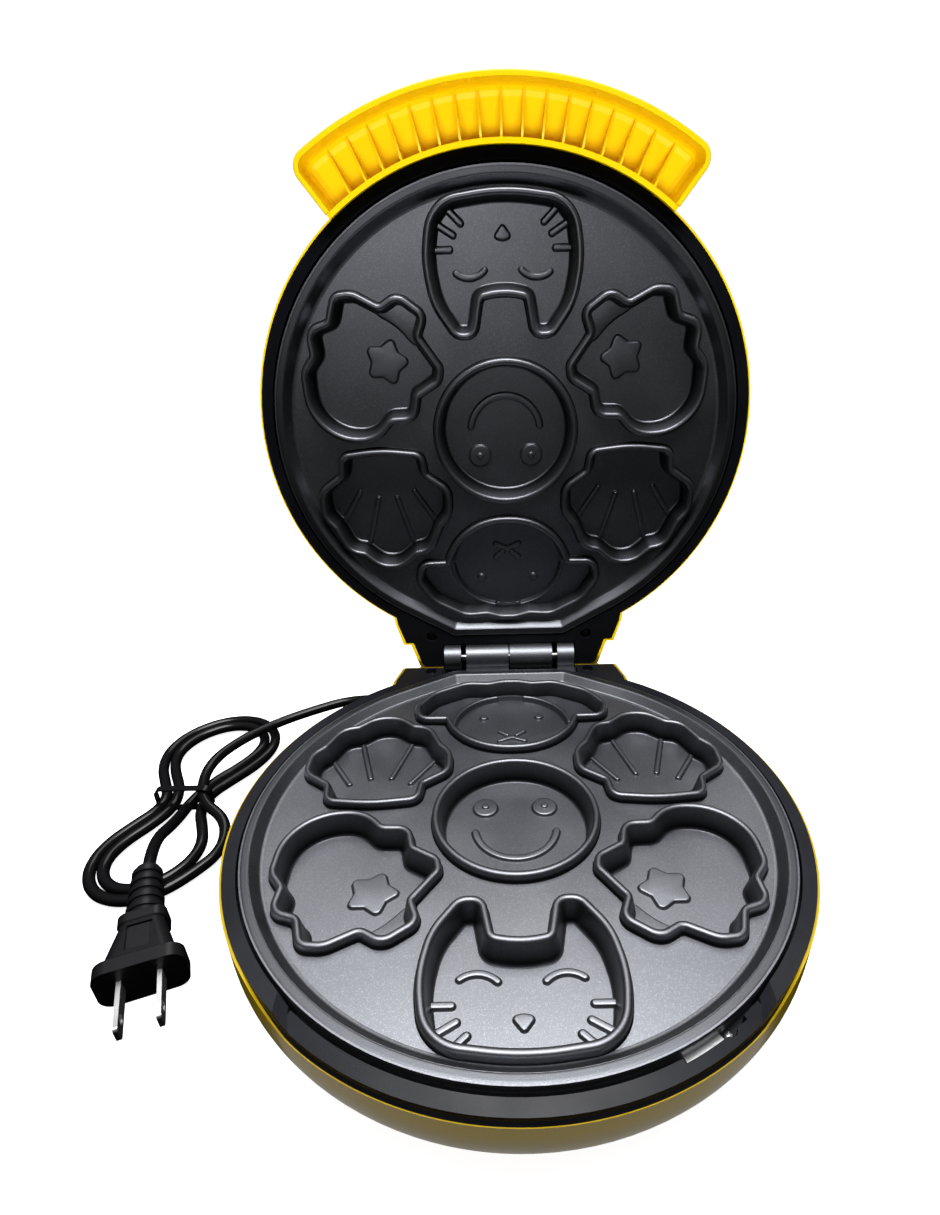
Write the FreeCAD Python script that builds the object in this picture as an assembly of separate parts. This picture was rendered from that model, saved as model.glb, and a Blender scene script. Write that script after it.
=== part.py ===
import FreeCAD, Part
import os
from math import acos, asin, atan2, cos, degrees, radians, sin, tan

os.makedirs("parts", exist_ok=True)
V = FreeCAD.Vector
X_AXIS = V(1, 0, 0)
Y_AXIS = V(0, 1, 0)
Z_AXIS = V(0, 0, 1)

# Main sizes in millimetres: x to the right, y to the hinge, z up from the table
PART_Z = 44.0            # plane where the two halves meet when shut
HINGE_Y = 108.3          # hinge axis, in that plane
PLATE_R = 96.0           # outer radius of the cooking plates
PLATE_GAP = 0.25         # each plate's rim stays this far from the meeting plane
PLATE_T = 5.0            # plate thickness at its rim
FIELD_DROP = 3.6         # field between the figures below the rim
FIELD_T = 2.6            # plate thickness in the field
RIM_W = 3.2              # width of the plate's flat rim
RIM_SLOPE = 3.0          # width of the slope from the rim down to the field
FLOOR = 9.4              # depth of the figure cavities
CUP_T = 2.6              # metal below the cavity floors
RELIEF = 0.9             # height of the face details on the floors
KNUCKLE_R = 6.5
PIN_R = 1.6
PIN_PLAY = 0.05
LONG_KNUCKLE = (-20.9, -0.3)
SHORT_KNUCKLE = (23.5, 31.5)
BEZEL_IN = 97.0
BEZEL_OUT = 101.4
BEZEL_TOP = 0.8          # bezel below the meeting plane
RIM_TOP = 1.5            # housing rim below the meeting plane
HOUSING_R = 102.3
WALL = 2.4
BASE_DEPTH = 41.0        # housing floor below the meeting plane
LID_DEPTH = 44.0
STRAIGHT = 11.8          # straight wall of a housing below the meeting plane
FRONT_HALF_ANGLE = 41.0  # lowered front of the base, under the handle
FRONT_IN = 2.8           # lowered front of the bezel, at the plate and at the housing
FRONT_OUT = 3.8
FRONT_LEDGE = 6.0        # ledge of the bezel below the plate's rim
FRONT_LIP = 6.8          # lowered front of the housing
TONGUE_Y = HINGE_Y + 5.5
TONGUE_SHELF = 8.4
FOOT_H = 3.0
CORD_D = 4.8


# Rounded outlines: corners (x, y, radius) joined by lines, drawn at an offset and a height
def frames(corners):
    area = 0.0
    for (ax, ay, _), (bx, by, _) in zip(corners, corners[1:] + corners[:1]):
        area += ax * by - bx * ay
    if area < 0:
        corners = corners[::-1]
    found = []
    for i, (px, py, r) in enumerate(corners):
        ax, ay, _ = corners[i - 1]
        bx, by, _ = corners[(i + 1) % len(corners)]
        d1 = V(px - ax, py - ay, 0).normalize()
        d2 = V(bx - px, by - py, 0).normalize()
        turn = atan2(d1.x * d2.y - d1.y * d2.x, d1.dot(d2))
        side = 1 if turn > 0 else -1
        back = r * tan(abs(turn) / 2)
        n1 = V(d1.y, -d1.x, 0)
        n2 = V(d2.y, -d2.x, 0)
        start = V(px, py, 0) - d1 * back
        end = V(px, py, 0) + d2 * back
        centre = start - n1 * (r * side)
        found.append((start, end, centre, n1, n2, (n1 + n2).normalize(), r, side))
    return found


def outline(corners, off=0.0, z=0.0):
    edges = []
    up = V(0, 0, z)
    turns = frames(corners)
    for i, (start, end, centre, n1, n2, mid, r, side) in enumerate(turns):
        first = start + n1 * off + up
        last = end + n2 * off + up
        middle = centre + mid * (side * r + off) + up
        edges.append(Part.Arc(first, middle, last).toShape())
        after = turns[(i + 1) % len(turns)]
        following = after[0] + after[3] * off + up
        if (following - last).Length > 1e-4:
            edges.append(Part.makeLine(last, following))
    return Part.Wire(edges)


def stack(corners, levels):
    return Part.makeLoft([outline(corners, off, z) for off, z in levels], True, True)


def prism(corners, z0, z1, off=0.0):
    return Part.Face(outline(corners, off, z0)).extrude(V(0, 0, z1 - z0))


def mirrored(half):
    return half + [(-x, y, r) for x, y, r in half[::-1] if abs(x) > 1e-9]


def flipped(corners):
    return [(-x, y, r) for x, y, r in corners[::-1]]


def around(points, angle=360.0, start=0.0):
    face = Part.Face(Part.makePolygon([V(r, 0, z) for r, z in points] + [V(points[0][0], 0, points[0][1])]))
    solid = face.revolve(V(0, 0, 0), Z_AXIS, angle)
    solid.rotate(V(0, 0, 0), Z_AXIS, start)
    return solid


def box(x0, x1, y0, y1, z0, z1):
    return Part.makeBox(x1 - x0, y1 - y0, z1 - z0, V(x0, y0, z0))


def rod(p, axis, length, radius):
    return Part.makeCylinder(radius, length, p, axis)


# Everything is drawn as a lower half with the meeting plane at z = 0; the lid's half is turned over and opened
def base(shape):
    shape = shape.copy()
    shape.translate(V(0, 0, PART_Z))
    return shape


def lid(shape):
    shape = shape.copy()
    shape.rotate(V(0, 0, 0), Y_AXIS, 180)
    shape.rotate(V(0, HINGE_Y, 0), X_AXIS, -90)
    shape.translate(V(0, 0, PART_Z))
    return shape


def save(name, shape):
    shape.exportStep("parts/" + name + ".step")


# Figure outlines, along the crest of the bead round each cavity
FACE = [(29.0, 29.0, 29.0), (-29.0, 29.0, 29.0), (-29.0, -29.0, 29.0), (29.0, -29.0, 29.0)]
CAT = mirrored([
    (0.0, -54.8, 30.0), (9.3, -52.6, 3.0), (11.9, -38.7, 4.0), (19.0, -38.7, 5.0), (27.0, -50.3, 25.0),
    (29.7, -65.5, 40.0), (26.3, -84.6, 13.0), (0.0, -88.2, 80.0)])
CUB = [
    (-81.5, 1.2, 19.4), (-81.5, -26.2, 7.0), (-76.7, -32.2, 3.5), (-77.4, -41.8, 5.0), (-69.0, -44.5, 3.5),
    (-66.0, -53.9, 4.0), (-58.8, -54.6, 8.0), (-48.7, -49.3, 3.5), (-41.5, -53.7, 5.0), (-31.6, -46.5, 4.0),
    (-34.6, -38.6, 2.5), (-26.4, -26.6, 3.5), (-27.2, -21.6, 4.0), (-36.2, -16.2, 3.0), (-38.2, -6.9, 5.0),
    (-47.8, -6.6, 4.0), (-54.8, 1.2, 14.0)]
SHELL_X = -53.5
SHELL = [(SHELL_X + u, y, r) for u, y, r in mirrored([
    (4.8, 59.5, 11.5), (11.9, 53.1, 3.0), (18.5, 51.7, 8.0), (23.5, 40.2, 3.0), (27.8, 35.2, 9.0),
    (27.9, 24.0, 7.0), (18.0, 16.9, 3.0), (16.9, 8.2, 4.2), (0.0, 6.3, 60.0)])]
DOG = mirrored([
    (3.5, 87.0, 12.0), (10.0, 85.1, 4.0), (20.3, 85.9, 12.0), (35.0, 78.0, 14.0), (41.6, 67.5, 5.0),
    (39.8, 58.9, 5.0), (27.6, 58.7, 1.6), (21.0, 38.0, 27.0)])
FIGURES = [FACE, CAT, CUB, flipped(CUB), SHELL, flipped(SHELL), DOG]


# Raised strokes on a cavity floor, with round ends
def bar(x0, y0, x1, y1, width=1.5):
    along = V(x1 - x0, y1 - y0, 0).normalize() * (width / 2)
    across = V(-along.y, along.x, 0)
    start = V(x0, y0, 0) - along
    end = V(x1, y1, 0) + along
    corners = [(p.x, p.y, width / 2) for p in (start - across, end - across, end + across, start + across)]
    return prism(corners, -FLOOR - 0.5, -FLOOR + RELIEF)


def bow(p, q, s, width):
    line = Part.Wire([Part.Arc(V(*p, 0), V(*q, 0), V(*s, 0)).toShape()])
    face = Part.Face(line.makeOffset2D(width / 2))
    face.translate(V(0, 0, -FLOOR - 0.5))
    return face.extrude(V(0, 0, RELIEF + 0.5))


def dot(x, y, r):
    return rod(V(x, y, -FLOOR - 0.5), Z_AXIS, RELIEF + 0.5, r)


def star(x, y, tip, waist):
    points = []
    for i in range(10):
        r = tip if i % 2 == 0 else waist
        round_off = 1.6 if i % 2 == 0 else 1.0
        points.append((x + r * cos(radians(36 * i)), y + r * sin(radians(36 * i)), round_off))
    return prism(points, -FLOOR - 0.5, -FLOOR + RELIEF)


def details():
    shapes = [bow((-14.8, -1.6), (0, -14.3), (14.8, -1.6), 2.0)]
    nose = [(3.4, -72.6, 1.0), (0.0, -77.0, 0.8), (-3.4, -72.6, 1.0), (0.0, -71.8, 3.0)]
    shapes.append(prism(nose, -FLOOR - 0.5, -FLOOR + RELIEF))
    shapes.append(bar(0, 54.9, 5.4, 52.5, 1.4).fuse(bar(0, 54.9, -5.4, 52.5, 1.4)))
    for s in (-1, 1):
        shapes.append(dot(11.2 * s, 11.0, 4.4).cut(rod(V(11.2 * s, 11.0, -FLOOR + 0.2), Z_AXIS, 2, 1.0)))
        shapes.append(bow((18.4 * s, -60.6), (13.0 * s, -58.9), (7.2 * s, -61.5), 1.6))
        shapes.append(bar(20.4 * s, -68.8, 28.0 * s, -68.8, 1.7))
        shapes.append(bar(18.9 * s, -73.7, 25.0 * s, -77.4, 1.7))
        shapes.append(bar(15.9 * s, -77.6, 20.5 * s, -82.0, 1.7))
        shapes.append(dot(12.4 * s, 69.6, 1.5))
        shapes.append(bar(5.2 * s, 59.0, 2.1 * s, 56.5, 1.4))
        for side in (-1, 1):
            x = SHELL_X * s
            shapes.append(bar(x + 4.2 * side, 29.4, x + 11.0 * side, 53.0, 1.3))
            shapes.append(bar(x + 12.2 * side, 26.2, x + 22.2 * side, 42.0, 1.3))
    shapes.append(star(-48.6, -28.6, 9.6, 5.9))
    right_star = star(-48.6, -28.6, 9.6, 5.9)
    shapes.append(right_star.mirror(V(0, 0, 0), X_AXIS))
    return shapes


# Shallower floors inside two of the figures: the dog's ears and the cub's paw
def steps():
    dog = stack(DOG, [(-2.4, -7.0), (-2.9, -FLOOR - 0.5)])
    head = Part.Ellipse(V(0, 61.6, 0), 25.2, 22.0).toShape()
    head = Part.Face(Part.Wire([head])).extrude(V(0, 0, 20))
    head.translate(V(0, 0, -15))
    shapes = [dog.cut(head)]
    for corners, s in ((CUB, 1), (flipped(CUB), -1)):
        paw = stack(corners, [(-2.6, -7.9), (-2.9, -FLOOR - 0.5)])
        window = box(-47, -28, -56, -36, -12, -5).cut(rod(V(-60.5, -21.0, -13), Z_AXIS, 10, 30.5))
        if s < 0:
            window = window.mirror(V(0, 0, 0), X_AXIS)
        shapes.append(paw.common(window))
    return shapes


# Rim of the plate: a circle with a straight back edge between two tangents
def rim(radius, corner):
    flat = 26.5 * radius / PLATE_R
    knee = radius * tan(radians(45) - atan2(flat, radius))
    half = [(radius, -radius, radius), (radius, knee, radius), (flat, radius, corner)]
    return half + [(-x, y, r) for x, y, r in half[::-1]]


# One casting serves both plates: rim, field, beaded cavities with cups below, lugs and knuckles
def plate():
    inner = PLATE_R - RIM_W
    body = prism(rim(PLATE_R, 3.0), -PLATE_T, 0).fuse(prism(rim(88.0, 3.0), -FIELD_DROP - FIELD_T, -1.0))
    body = body.cut(stack(rim(inner, 4.0), [(-RIM_SLOPE, -FIELD_DROP), (0.0, 0.0), (0.5, 0.6)]))
    for x0, x1 in (LONG_KNUCKLE, SHORT_KNUCKLE):
        lug = box(x0, x1, PLATE_R - 3, HINGE_Y, -6.2, -1.6)
        barrel = rod(V(x0, HINGE_Y, PLATE_GAP), X_AXIS, x1 - x0, KNUCKLE_R)
        body = body.fuse([lug, barrel])
    cups = []
    hollows = []
    for corners in FIGURES:
        cups.append(stack(corners, [(-0.3, -FLOOR - CUP_T), (1.2, -FIELD_DROP), (1.05, -0.6), (0.45, 0)]))
        hollows.append(stack(corners, [(-2.9, -FLOOR), (-1.05, -0.6), (-0.45, 0), (-0.25, 0.2)]))
    body = body.fuse(cups)
    body = body.cut(hollows)
    body = body.fuse(steps() + details())
    body = body.cut(rod(V(-40, HINGE_Y, PLATE_GAP), X_AXIS, 80, PIN_R + PIN_PLAY))
    body = body.removeSplitter()
    body.translate(V(0, 0, -PLATE_GAP))
    return body


# Outline of the tongue behind each half that carries the hinge
def tongue(grow=0.0, end=TONGUE_Y, round_off=1.0):
    half = [(56.0 + grow, 60.0, 1.0 + round_off), (53.4 + grow, 89.5, 1.0 + round_off)]
    if end > 101.0:
        half += [(50.2 + grow, 100.2 + grow, round_off), (46.6 + grow, 100.2 + grow, 0.6)]
        half += [(42.6 + grow, end + grow, 2.0 + round_off)]
    else:
        half += [(50.2 + grow, end + grow, round_off)]
    return half + [(-x, y, r) for x, y, r in half[::-1]]


LEG = mirrored([(57.0, 60.0, 8.0), (54.8, 89.5, 8.0), (50.6, 101.0, 8.0), (44.0, TONGUE_Y + 1.4, 7.0)])


# Bowl of a housing: straight rim, then two arcs down to a flat floor
def bowl(depth, inset):
    r = HOUSING_R - inset
    big = 30.0 - inset
    turn = radians(60)
    lip = V(r, 0, -STRAIGHT)
    a1 = V(r - big * (1 - cos(turn)), 0, -STRAIGHT - big * sin(turn))
    m1 = V(r - big * (1 - cos(turn / 2)), 0, -STRAIGHT - big * sin(turn / 2))
    left = depth - inset + a1.z
    small = left / (1 - sin(turn))
    mid = radians(75)
    a2 = V(a1.x - small * cos(turn), 0, a1.z - left)
    m2 = V(a1.x - small * (cos(turn) - cos(mid)), 0, a1.z - small * (sin(mid) - sin(turn)))
    top = V(r, 0, -RIM_TOP if inset == 0 else 3.0)
    edges = [
        Part.makeLine(V(0, 0, top.z), top), Part.makeLine(top, lip), Part.Arc(lip, m1, a1).toShape(),
        Part.Arc(a1, m2, a2).toShape(), Part.makeLine(a2, V(0, 0, a2.z)),
        Part.makeLine(V(0, 0, a2.z), V(0, 0, top.z))]
    return Part.Face(Part.Wire(edges)).revolve(V(0, 0, 0), Z_AXIS, 360)


# Cut across the front with sloping ends
def front_cut(half, floor, run, top):
    side = [(half, -floor), (half + run, -top), (half + run, 5.0)]
    corners = [V(x, 0, z) for x, z in side] + [V(-x, 0, z) for x, z in side[::-1]]
    return Part.Face(Part.makePolygon(corners + corners[:1])).extrude(V(0, -140, 0))


# Room for the knuckles at the back of both halves
def hinge_gap(depth):
    return box(-32.3, 32.3, PLATE_R - 4, TONGUE_Y + 3, -depth, 3)


def base_housing():
    leg = stack(LEG, [(0, -TONGUE_SHELF), (-3.0, -BASE_DEPTH)])
    collar = prism(tongue(1.4, 100.2), -30, -RIM_TOP)
    outer = bowl(BASE_DEPTH, 0).fuse([leg, collar])
    leg_in = stack(LEG, [(-WALL, -TONGUE_SHELF - WALL), (-WALL - 3.0, -BASE_DEPTH + WALL)])
    collar_in = prism(tongue(0.1, 100.2), -30, 3)
    rebate = around([(0, 3), (BEZEL_OUT + 0.05, 3), (BEZEL_OUT + 0.05, -11), (0, -11)])
    shell = outer.cut([bowl(BASE_DEPTH, WALL), leg_in, collar_in, rebate])
    shell = shell.cut([front_cut(64.8, FRONT_LIP, 15.0, RIM_TOP), hinge_gap(TONGUE_SHELF)])
    holes = [rod(V(x, y, -BASE_DEPTH - 1), Z_AXIS, 2 * WALL, 4.0) for x, y in FEET]
    holes.append(rod(LEAD[0] - V(0, 0, PART_Z) - LEAD_WAY * 8, LEAD_WAY, 30, 4.6))
    for i in range(6):
        slot = prism([(-2, 20, 1.9), (2, 20, 1.9), (2, 40, 1.9), (-2, 40, 1.9)], -BASE_DEPTH - 1, -BASE_DEPTH + 4)
        slot.rotate(V(0, 0, 0), Z_AXIS, 60 * i + 30)
        holes.append(slot)
    return shell.cut(holes).removeSplitter()


# Fan-shaped handle in one piece with the lid: a shallow tray open towards the base, stiffened by thin gussets
HANDLE_LOW = 4.5
HANDLE_HIGH = 11.5
HANDLE_WALL = 1.8
INNER_WALL = HOUSING_R + 1.0
INNER_WALL_TOP = 2.0
TRAY_FLOOR = 8.7
TRAY_ROUND = 3.4
RIB_STEP = 4.0
RIB_T = 0.8


HANDLE = mirrored([(0.0, -147.3, 127.8), (76.0, -97.0, 6.0), (61.0, -77.0, 1.0), (30.0, -30.0, 12.0)])


def handle():
    outside = prism(HANDLE, -HANDLE_HIGH, HANDLE_LOW)
    back = [e for e in outside.Edges if e.BoundBox.ZMax < -HANDLE_HIGH + 0.01 and e.BoundBox.YMin < -80]
    outside = outside.makeFillet(4.0, back)
    lip = [e for e in outside.Edges if e.BoundBox.ZMin > HANDLE_LOW - 0.01 and e.BoundBox.YMin < -80]
    outside = outside.makeFillet(0.7, lip)
    levels = [(-HANDLE_WALL, HANDLE_LOW + 1.0)]
    for angle in (0, 30, 60, 90):
        a = radians(angle)
        levels.append((-HANDLE_WALL - 0.4 - TRAY_ROUND * (1 - cos(a)), -TRAY_FLOOR + TRAY_ROUND * (1 - sin(a))))
    tray = stack(HANDLE, levels).cut(rod(V(0, 0, -60), Z_AXIS, 120, INNER_WALL))
    keep = rod(V(0, 0, -60), Z_AXIS, 120, BEZEL_OUT + 0.1)
    over = rod(V(0, 0, INNER_WALL_TOP), Z_AXIS, 9, INNER_WALL)
    shell = outside.cut([keep, tray, over])
    limit = prism(HANDLE, -TRAY_FLOOR - 1.0, HANDLE_LOW, -HANDLE_WALL + 1.0)
    ribs = []
    for i in range(-8, 9):
        side = [(102.0, -9.6), (102.0, INNER_WALL_TOP), (104.0, INNER_WALL_TOP), (111.0, -3.0), (119.0, -7.0),
                (126.0, -8.3), (126.0, -9.6)]
        face = Part.Face(Part.makePolygon([V(-RIB_T / 2, -r, z) for r, z in side + side[:1]]))
        rib = face.extrude(V(RIB_T, 0, 0))
        rib.rotate(V(0, 0, 0), Z_AXIS, RIB_STEP * i)
        ribs.append(rib.common(limit))
    return shell.fuse(ribs)


LAMPS = (-9.0, 9.0)
LAMP_Y = -48.0


def lid_housing():
    heel = prism(tongue(1.4), -14, -RIM_TOP)
    outer = bowl(LID_DEPTH, 0).fuse([heel, stack(LEG, [(0, -14), (-4.0, -30)])])
    heel_in = stack(LEG, [(-WALL, -12), (-WALL - 3.0, -28)])
    heel_rebate = prism(tongue(0.1), -10.6, 3)
    rebate = around([(0, 3), (BEZEL_OUT + 0.05, 3), (BEZEL_OUT + 0.05, -11), (0, -11)])
    shell = outer.cut([bowl(LID_DEPTH, WALL), heel_in, heel_rebate, rebate, hinge_gap(8.6)])
    shell = shell.fuse(handle())
    holes = [rod(V(x, LAMP_Y, -LID_DEPTH - 1), Z_AXIS, 2 * WALL, 4.05) for x in LAMPS]
    return shell.cut(holes).removeSplitter()


# Black inner frame between a plate and its housing
def frame(end, lowered):
    section = [
        (BEZEL_IN, -BEZEL_TOP), (BEZEL_OUT, -BEZEL_TOP), (BEZEL_OUT, -11), (90, -11), (90, -9), (98.6, -9),
        (98.6, -3), (BEZEL_IN, -3)]
    ears = prism(tongue(0, end), -10.5, -BEZEL_TOP).cut(rod(V(0, 0, -20), Z_AXIS, 30, 99.5))
    opening = prism(rim(PLATE_R, 3.0), -8.5, 2, 1.0)
    body = around(section).fuse(ears).cut([opening, hinge_gap(TONGUE_SHELF - 0.2)])
    body = lowered_front(body.fuse(pocket_floor())) if lowered else body.fuse(lug_cover().cut(opening))
    places = [polar(CLIP_SCREW_R, 0), polar(CLIP_SCREW_R, 180)]
    if not lowered:
        places.append(polar(CLIP_SCREW_R, -90))
    holes = [rod(V(x, y, -15), Z_AXIS, 16, 1.55) for x, y in BEZEL_SCREWS + places]
    holes += [rod(V(x, y, -SCREW_SEAT), Z_AXIS, 4, 2.6) for x, y in BEZEL_SCREWS]
    return body.cut(holes).removeSplitter()


# Floor of the base's hinge pocket, and the strip over the lugs of the lid's plate
def pocket_floor():
    front = box(-32.2, 32.2, 97.5, 103.0, -TONGUE_SHELF + 0.05, -TONGUE_SHELF + 0.9)
    back = prism(LEG, -TONGUE_SHELF + 0.05, -TONGUE_SHELF + 0.9, -0.6)
    return front.fuse(back.common(box(-60, 60, 102.0, 120, -20, 0)))


def lug_cover():
    return box(-33, 33, 88, HINGE_Y - KNUCKLE_R - 0.5, -1.5, -BEZEL_TOP)


# Lowered front of the base's bezel, with a ledge under the plate's rim and room for the tab and its screw
def lowered_front(body):
    band = [
        (92, -FRONT_LEDGE), (BEZEL_IN + 0.2, -FRONT_LEDGE), (BEZEL_IN + 0.2, -FRONT_IN), (BEZEL_OUT, -FRONT_OUT),
        (BEZEL_OUT, -10), (98, -10), (98, -8.2), (92, -8.2)]
    body = body.cut(front_cut(63.2, FRONT_OUT + 0.1, 5.0, BEZEL_TOP))
    body = body.fuse(around(band, 2 * FRONT_HALF_ANGLE, -90 - FRONT_HALF_ANGLE))
    room = [(96, -FRONT_LEDGE), (98.4, -FRONT_LEDGE), (98.4, 0), (96, 0)]
    body = body.cut(around(room, 13.0, TAB_ANGLE - 4.6))
    return body.cut([rod(V(*TAB_SCREW, -FRONT_LEDGE), Z_AXIS, 6, 1.9), rod(V(*TAB_SCREW, -12), Z_AXIS, 8, 0.95)])


BEZEL_SCREWS = [(-37.6, 97.0), (37.6, 97.0)]
SCREW_SEAT = 2.8
CLIP_SCREW_R = 93.6
TAB_ANGLE = -61.2
TAB_SCREW_ANGLE = -56.3
FEET = [(-48.0, -44.0), (48.0, -44.0), (-32.0, 99.0), (32.0, 99.0)]


def polar(r, angle):
    return r * cos(radians(angle)), r * sin(radians(angle))


TAB_SCREW = polar(97.6, TAB_SCREW_ANGLE)


def pan_screw(x, y, seat, head=2.2, shank=1.5, length=7.0):
    high = 0.7 * head
    dome = Part.makeSphere(head * 1.35, V(x, y, seat - head * 1.35 + high))
    cap = rod(V(x, y, seat), Z_AXIS, high, head).common(dome)
    long = 0.6 * head
    wide = 0.14 * head
    slots = [box(x - long, x + long, y - wide, y + wide, seat + 0.5 * high, seat + 3)]
    slots.append(box(x - wide, x + wide, y - long, y + long, seat + 0.5 * high, seat + 3))
    return cap.fuse(rod(V(x, y, seat - length), Z_AXIS, length, shank)).cut(slots)


# Bent steel clips that hold a plate to its bezel
def clip(angle):
    side = [(90.9, -9.0), (95.7, -9.0), (95.7, -8.4), (91.5, -8.4), (91.5, -5.25), (89.3, -5.25), (89.3, -5.85),
            (90.9, -5.85)]
    face = Part.Face(Part.makePolygon([V(r, -5, z) for r, z in side + side[:1]]))
    bent = face.extrude(V(0, 10, 0)).cut(rod(V(CLIP_SCREW_R, 0, -12), Z_AXIS, 8, 1.55))
    bent.rotate(V(0, 0, 0), Z_AXIS, angle)
    return bent


def tab():
    top = -FRONT_LEDGE + 0.65
    return around([(92.5, -FRONT_LEDGE), (98.0, -FRONT_LEDGE), (98.0, top), (92.5, top)], 7.4, TAB_ANGLE - 3.7)


def clip_screw(angle):
    return pan_screw(*polar(CLIP_SCREW_R, angle), -8.4, 1.95, 1.5, 6.0)


# Tubular heater with two cold ends, and the dished reflector below it
HEATER_R = 58.0
HEATER_Z = -15.55


def heater():
    ring = Part.makeTorus(HEATER_R, 3.25, V(0, 0, 0), Z_AXIS, -180, 180, 336)
    ring.rotate(V(0, 0, 0), Z_AXIS, 102)
    ring.translate(V(0, 0, HEATER_Z))
    ends = []
    for angle in (78, 102):
        x, y = polar(HEATER_R, angle)
        ends += [Part.makeSphere(3.25, V(x, y, HEATER_Z)), rod(V(x, y, -28), Z_AXIS, 28 + HEATER_Z, 3.25)]
        ends.append(rod(V(x, y, -34), Z_AXIS, 7, 1.2))
    return ring.fuse(ends).removeSplitter()


def reflector():
    dish = around([
        (0, -21), (86, -21), (89.6, -11), (91.8, -11), (91.8, -11.7), (90.2, -11.7), (86.6, -21.7), (0, -21.7)])
    holes = [rod(V(*polar(HEATER_R, angle), -30), Z_AXIS, 12, 4.4) for angle in (78, 102)]
    return dish.cut(holes)


def thermostat():
    can = rod(V(0, 0, -19.5), Z_AXIS, 7.2, 8.0)
    wing = prism([(-14, -3.5, 3), (14, -3.5, 3), (14, 3.5, 3), (-14, 3.5, 3)], -13.1, -12.3)
    pins = [box(x - 3, x + 3, -0.4, 0.4, -20.9, -19.5) for x in (-4.5, 4.5)]
    return can.fuse([wing] + pins)


def thermal_fuse():
    body = rod(V(-8, -30, -24.1), X_AXIS, 16, 2.3)
    leads = [rod(V(x, -30, -24.1), X_AXIS, 9, 0.5) for x in (-17, 8)]
    return body.fuse(leads)


def terminal_block():
    block = box(-19, 19, 88, 102, -38.6, -28)
    for i in range(3):
        block = block.cut(rod(V(-12 + 12 * i, 95, -33), Z_AXIS, 10, 3.4))
    return block


def foot(x, y):
    pad = rod(V(x, y, -PART_Z), Z_AXIS, FOOT_H, 7.0)
    stem = rod(V(x, y, -BASE_DEPTH - 1.0), Z_AXIS, WALL + 1.0, 4.0)
    barb = Part.makeCone(5.2, 3.2, 2.6, V(x, y, -BASE_DEPTH + WALL), Z_AXIS)
    return pad.fuse([stem, barb])


def hinge_pin():
    end = SHORT_KNUCKLE[1] - 0.2
    pin = rod(V(-end, HINGE_Y, 0), X_AXIS, 2 * end, PIN_R)
    return pin.makeChamfer(0.3, [e for e in pin.Edges if e.Closed])


def lamp(x):
    lens = rod(V(x, LAMP_Y, -LID_DEPTH - 0.4), Z_AXIS, 3.4, 4.0)
    bead = Part.makeSphere(6.0, V(x, LAMP_Y, -LID_DEPTH + 4.2))
    bead = bead.common(rod(V(x, LAMP_Y, -LID_DEPTH - 3), Z_AXIS, 3, 4.0))
    collar = rod(V(x, LAMP_Y, -LID_DEPTH + WALL), Z_AXIS, 1.2, 5.4)
    return lens.fuse([bead, collar]).removeSplitter()


# Mains cord on the table: a lead from the base, a hank of two turns drawn in by a tie, and a tail to the plug
CORD_R = CORD_D / 2
HANK_X = -148.1
HANK_Y = 53.3
HANK_Z = 3.1
HANK_WAIST = 12.6
HANK_LOBE = 26.9
HANK_ROUND = 0.97
HANK_REACH = 62.5
HANK_PITCH = 5.45
TIE_T = 0.6


# One closed loop with a narrow waist; each turn of the hank lies one pitch inside the last
def loop_point(t):
    lobe = HANK_LOBE / cos(radians(45))
    first = (lobe + HANK_WAIST + HANK_ROUND) / 2
    third = (lobe - HANK_WAIST - HANK_ROUND) / 2
    wave = first * sin(t) + third * sin(3 * t) - HANK_ROUND * sin(5 * t)
    y = HANK_REACH * (0.87 * cos(t) + 0.13 * cos(3 * t)) * (1 + 0.086 * cos(t))
    x = wave * (1 + 0.123 * cos(t)) + 0.097 * y
    return V(HANK_X + x, HANK_Y + y, HANK_Z)


def hank_point(t):
    way = (loop_point(t + 1e-4) - loop_point(t - 1e-4)).normalize()
    inset = HANK_PITCH * (t - radians(90)) / radians(360)
    return loop_point(t) + V(way.y, -way.x, 0) * inset


def hank_way(t):
    return (hank_point(t + 1e-3) - hank_point(t - 1e-3)).normalize()


def bent_arc(a, way, b):
    chord = b - a
    lift = way - chord * (way.dot(chord) / chord.dot(chord))
    if lift.Length < 1e-7:
        return Part.makeLine(a, b)
    half_turn = atan2(lift.Length, way.dot(chord) / chord.Length)
    middle = (a + b) * 0.5 + lift.normalize() * (chord.Length / 2 * tan(half_turn / 2))
    return Part.Arc(a, middle, b).toShape()


def biarc(a, way_a, b, way_b):
    v = b - a
    t = way_a + way_b
    k = 2 * (1 - way_a.dot(way_b))
    if k < 1e-9:
        d = v.dot(v) / (4 * v.dot(way_b))
    else:
        d = (-v.dot(t) + (v.dot(t) ** 2 + k * v.dot(v)) ** 0.5) / k
    joint = (a + way_a * d + b - way_b * d) * 0.5
    return [bent_arc(a, way_a, joint), bent_arc(b, way_b * -1, joint)]


def swept(edges, radius):
    wire = Part.Wire(edges)
    start = wire.OrderedVertexes[0].Point
    first = wire.OrderedEdges[0]
    way = first.tangentAt(first.FirstParameter)
    if (first.valueAt(first.FirstParameter) - start).Length > 1e-5:
        way = first.tangentAt(first.LastParameter) * -1
    ring = Part.Wire([Part.makeCircle(radius, start, way)])
    return wire.makePipeShell([ring], True, False)


def hank(t0, t1, steps):
    edges = []
    for i in range(steps):
        a = t0 + (t1 - t0) * i / steps
        b = t0 + (t1 - t0) * (i + 1) / steps
        edges += biarc(hank_point(a), hank_way(a), hank_point(b), hank_way(b))
    return edges


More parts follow.
